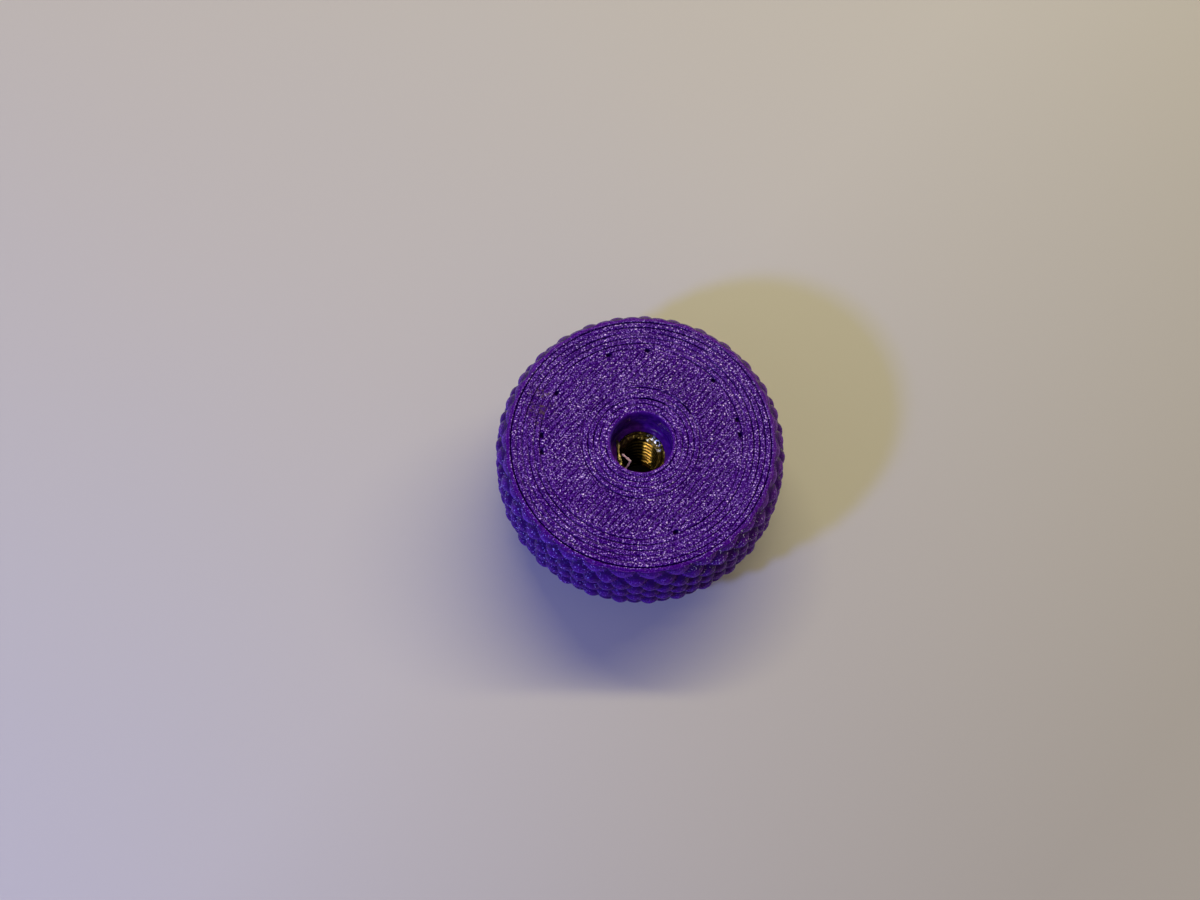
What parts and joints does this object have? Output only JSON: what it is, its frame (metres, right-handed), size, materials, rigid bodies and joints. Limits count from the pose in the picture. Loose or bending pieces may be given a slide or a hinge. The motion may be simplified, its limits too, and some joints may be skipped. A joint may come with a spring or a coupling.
{
  "type": "air cleaner nut",
  "caption": "Round knurled hand nut with a brass thread insert, for the stud that holds down an air cleaner lid.",
  "frame": {"origin": "on the axis, at the underside of the boss that bears on the lid", "axes": "+Z along the thread axis, up to the flat round face; +X through a crest of the first row of the knurl, just under the face"},
  "size_m": [0.0404, 0.0404, 0.0178],
  "materials": {
    "knob_plastic": "satin printed plastic",
    "insert_brass": "turned, slightly dulled"
  },
  "bodies": {
    "root": {"knob_body": "knob_plastic", "threaded_insert": "insert_brass"}
  },
  "joints": []
}
